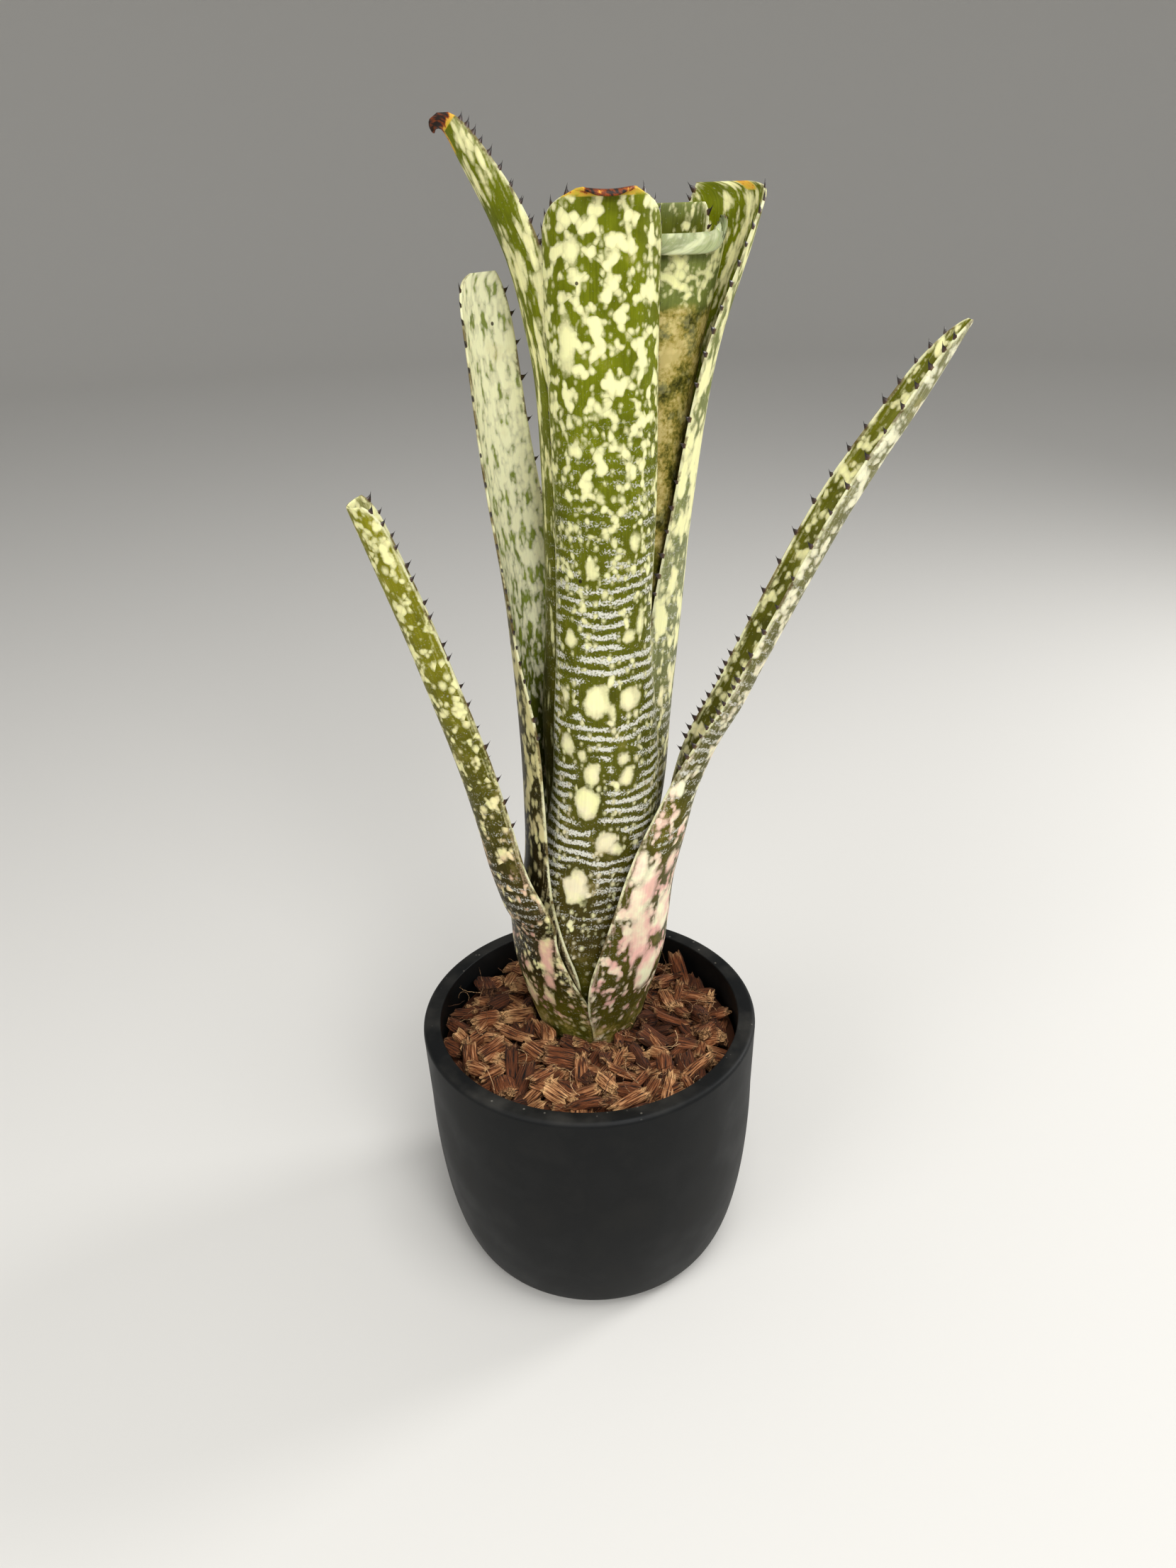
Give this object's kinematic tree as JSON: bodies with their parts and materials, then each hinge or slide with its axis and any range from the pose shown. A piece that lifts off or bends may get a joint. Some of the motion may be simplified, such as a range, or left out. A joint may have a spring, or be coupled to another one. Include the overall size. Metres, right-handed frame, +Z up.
{
  "type": "potted billbergia plant",
  "caption": "Upright tubular bromeliad with spiny, spotted strap leaves, standing in coconut husk chips in a plain round pot.",
  "frame": {"origin": "centre of the pot's flat underside", "axes": "+Z up along the pot's axis, the plant's front leaf faces -Y, the longest leaf arches towards +X"},
  "size_m": [0.1786, 0.12, 0.3819],
  "materials": {
    "pot_plastic": "matte black moulded polypropylene, dusty on the rim",
    "coconut_husk": "rough fibrous chips of dry coconut husk",
    "stem_tissue": "dull woody bromeliad stem with cut root stubs",
    "leaf_outer_pair": "satin leaf skin, green with cream and pink spots and silver bands",
    "leaf_pale": "satin leaf skin, mostly cream with green flecks",
    "leaf_tube": "satin leaf skin, green with cream spots and silver bands"
  },
  "bodies": {
    "root": {"pot": "pot_plastic", "bark_mix": "coconut_husk", "stem_with_roots": "stem_tissue", "leaf_right_arching": "leaf_outer_pair", "leaf_left_arching": "leaf_outer_pair", "leaf_left_mid": "leaf_pale", "leaf_front": "leaf_tube", "leaf_right_flared": "leaf_tube", "leaf_upper_left": "leaf_tube", "leaf_inner_right": "leaf_tube", "leaf_back": "leaf_tube"}
  },
  "joints": []
}
